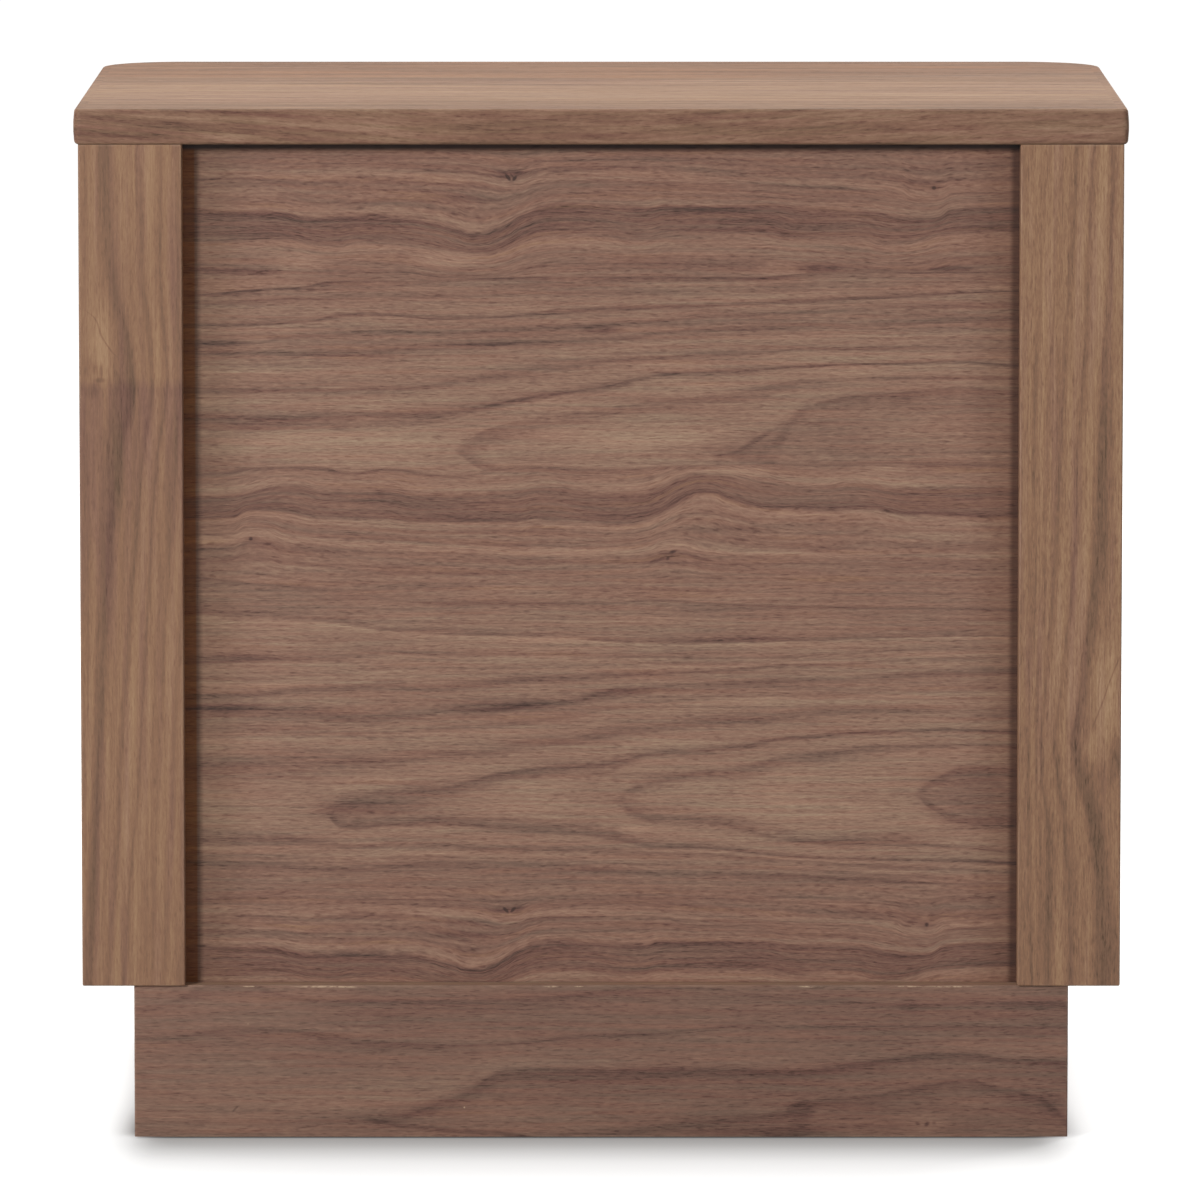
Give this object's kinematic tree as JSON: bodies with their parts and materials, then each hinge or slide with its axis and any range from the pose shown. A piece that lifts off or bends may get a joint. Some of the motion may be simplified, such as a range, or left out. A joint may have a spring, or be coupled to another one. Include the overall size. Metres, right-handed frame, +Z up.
{
  "type": "nightstand",
  "caption": "Nightstand with a rounded-corner slab top, thick framed sides, inset drawers on ball-bearing runners, a recessed rear panel and a set-in plinth.",
  "frame": {"origin": "on the floor, under the middle of the top's width and depth", "axes": "+X across the width, with +X on the right of a person who faces the drawers; -Y the way the drawers open, +Y the rear; +Z up"},
  "size_m": [0.56, 0.38, 0.553],
  "materials": {
    "walnut": "satin lacquered walnut, veneer and solid",
    "birch": "clear sealed birch board and plywood",
    "beech": "plain fluted beech dowel",
    "zinc_steel": "zinc plated",
    "runner_steel": "bright zinc plated rolled steel",
    "bearing_steel": "polished balls in pressed strips",
    "nylon": "moulded nylon"
  },
  "bodies": {
    "case": {"top_slab": "walnut", "top_lipping": "walnut", "left_front_post": "walnut", "right_front_post": "walnut", "left_rear_post": "walnut", "right_rear_post": "walnut", "left_outer_panel": "walnut", "right_outer_panel": "walnut", "left_inner_panel": "walnut", "right_inner_panel": "walnut", "left_core_rails": "birch", "right_core_rails": "birch", "side_frame_dowels": "beech", "back_panel": "walnut", "bottom_panel": "birch", "top_front_rail": "walnut", "top_rear_rail": "birch", "middle_rail": "walnut", "rail_dowels": "beech", "cam_bolts": "zinc_steel", "cam_locks": "zinc_steel", "top_screws": "zinc_steel", "cabinet_runner_screws": "zinc_steel", "plinth_rear_board": "walnut", "plinth_front_board": "walnut", "plinth_left_board": "walnut", "plinth_right_board": "walnut", "plinth_centre_bearer": "birch", "plinth_corner_blocks": "birch", "plinth_screws": "zinc_steel", "floor_glides": "nylon", "lower_cabinet_runners": "runner_steel", "upper_cabinet_runners": "runner_steel"},
    "lower_drawer": {"lower_drawer_front": "walnut", "lower_box_front": "birch", "lower_box_back": "birch", "lower_box_left_side": "birch", "lower_box_right_side": "birch", "lower_box_floor": "birch", "lower_front_screws": "zinc_steel", "lower_drawer_runners": "runner_steel", "lower_runner_screws": "zinc_steel"},
    "lower_middle_runners": {"lower_middle_runners": "runner_steel"},
    "lower_outer_cages": {"lower_outer_ball_cages": "bearing_steel"},
    "lower_inner_cages": {"lower_inner_ball_cages": "bearing_steel"},
    "upper_drawer": {"upper_drawer_front": "walnut", "upper_box_front": "birch", "upper_box_back": "birch", "upper_box_left_side": "birch", "upper_box_right_side": "birch", "upper_box_floor": "birch", "upper_front_screws": "zinc_steel", "upper_drawer_runners": "runner_steel", "upper_runner_screws": "zinc_steel"},
    "upper_middle_runners": {"upper_middle_runners": "runner_steel"},
    "upper_outer_cages": {"upper_outer_ball_cages": "bearing_steel"},
    "upper_inner_cages": {"upper_inner_ball_cages": "bearing_steel"}
  },
  "joints": [
    {"name": "lower_drawer_slide", "type": "slide", "parent": "case", "child": "lower_drawer", "axis": [0, -1, 0], "range_m": [0, 0.29]},
    {"name": "lower_middle_runners_slide", "type": "slide", "parent": "case", "child": "lower_middle_runners", "axis": [0, -1, 0], "range_m": [0, 0.145]},
    {"name": "lower_outer_cages_slide", "type": "slide", "parent": "case", "child": "lower_outer_cages", "axis": [0, -1, 0], "range_m": [0, 0.0725]},
    {"name": "lower_inner_cages_slide", "type": "slide", "parent": "case", "child": "lower_inner_cages", "axis": [0, -1, 0], "range_m": [0, 0.2175]},
    {"name": "upper_drawer_slide", "type": "slide", "parent": "case", "child": "upper_drawer", "axis": [0, -1, 0], "range_m": [0, 0.29]},
    {"name": "upper_middle_runners_slide", "type": "slide", "parent": "case", "child": "upper_middle_runners", "axis": [0, -1, 0], "range_m": [0, 0.145]},
    {"name": "upper_outer_cages_slide", "type": "slide", "parent": "case", "child": "upper_outer_cages", "axis": [0, -1, 0], "range_m": [0, 0.0725]},
    {"name": "upper_inner_cages_slide", "type": "slide", "parent": "case", "child": "upper_inner_cages", "axis": [0, -1, 0], "range_m": [0, 0.2175]}
  ],
  "couplings": [
    {"joint": "lower_middle_runners_slide", "follows": "lower_drawer_slide", "ratio": 0.5},
    {"joint": "lower_outer_cages_slide", "follows": "lower_drawer_slide", "ratio": 0.25},
    {"joint": "lower_inner_cages_slide", "follows": "lower_drawer_slide", "ratio": 0.75},
    {"joint": "upper_middle_runners_slide", "follows": "upper_drawer_slide", "ratio": 0.5},
    {"joint": "upper_outer_cages_slide", "follows": "upper_drawer_slide", "ratio": 0.25},
    {"joint": "upper_inner_cages_slide", "follows": "upper_drawer_slide", "ratio": 0.75}
  ]
}
